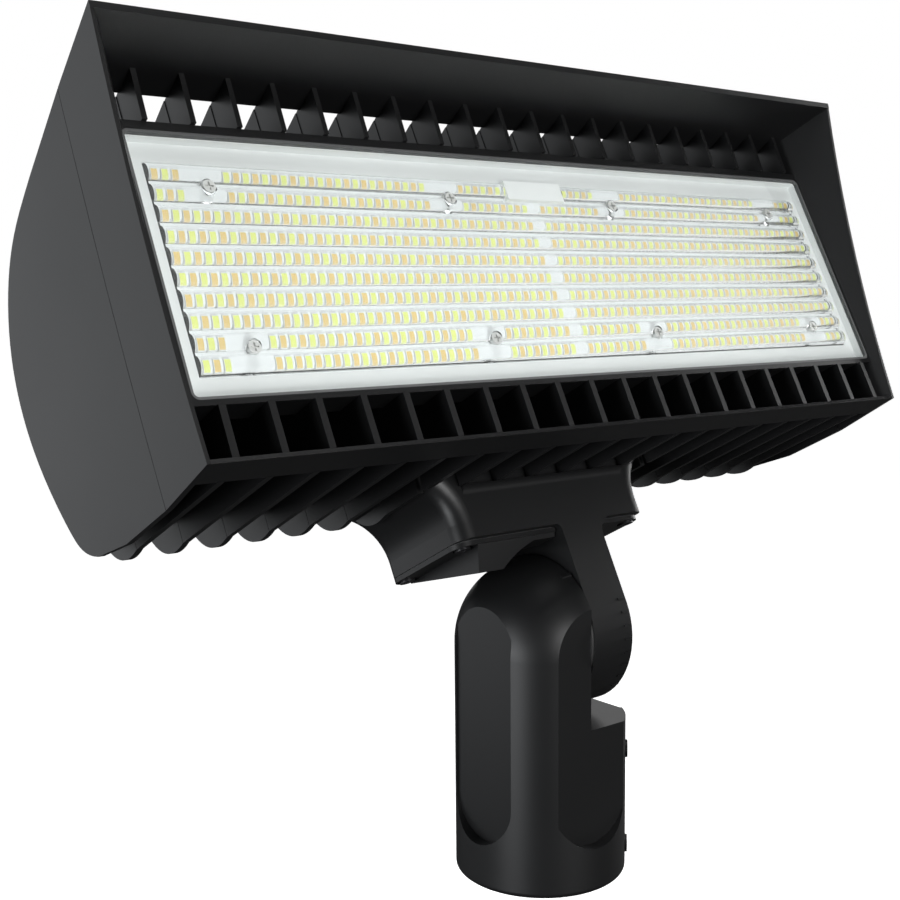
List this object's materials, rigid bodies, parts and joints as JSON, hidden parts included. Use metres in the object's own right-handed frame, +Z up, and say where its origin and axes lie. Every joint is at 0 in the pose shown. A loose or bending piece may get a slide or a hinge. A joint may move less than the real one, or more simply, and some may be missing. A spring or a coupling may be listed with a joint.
{
  "type": "slipfitter floodlight",
  "caption": "Wide finned LED floodlight head with a glare visor, tilting on a knuckle slipfitter that clamps over a pole tenon.",
  "frame": {"origin": "middle of the slipfitter's open mouth, on the tenon's axis", "axes": "+Z up along the tenon, X along the head and the tilt hinge, light leaves towards -Y at rest tilted 27 degrees up"},
  "size_m": [0.4134, 0.1504, 0.3615],
  "materials": {
    "housing": "satin black powder coat",
    "glass": "clear tempered",
    "lens": "clear moulded",
    "reflector": "white satin",
    "board": "white solder mask",
    "chip": "phosphor",
    "white_plastic": "matte",
    "silicone": "matte",
    "black_rubber": "matte",
    "steel": "zinc plated",
    "black_steel": "black oxide",
    "driver_case": "brushed",
    "blue_plastic": "gloss",
    "thermal_pad": "matte",
    "lead": "silicone insulation"
  },
  "bodies": {
    "slipfitter": {"slipfitter": "housing", "set_screws": "black_steel", "wire_grommet": "black_rubber", "friction_washer": "steel", "pivot_washer": "steel", "pivot_bolt": "black_steel"},
    "head": {"front_housing": "housing", "rear_housing": "housing", "thermal_pads": "thermal_pad", "led_board": "board", "led_chips": "chip", "lens_sheet": "lens", "lens_screws": "steel", "connector_cover": "white_plastic", "reflector_frame": "reflector", "glass_seal": "silicone", "glass_cover": "glass", "driver": "driver_case", "driver_screws": "steel", "led_leads": "lead", "lead_seal": "silicone", "driver_cover_gasket": "silicone", "driver_cover": "housing", "driver_cover_screws": "black_steel", "vent_plug": "black_rubber", "housing_screws": "black_steel", "box_grommet": "black_rubber", "surge_protector": "blue_plastic", "terminal_block": "white_plastic", "ground_screw": "steel", "wiring_cover_gasket": "silicone", "wiring_cover": "housing", "wiring_cover_screws": "black_steel"}
  },
  "joints": [
    {"name": "head_tilt", "type": "hinge", "parent": "slipfitter", "child": "head", "pos_m": [0, 0, 0.1098], "axis": [1, 0, 0], "range_deg": [-33, 87]}
  ]
}
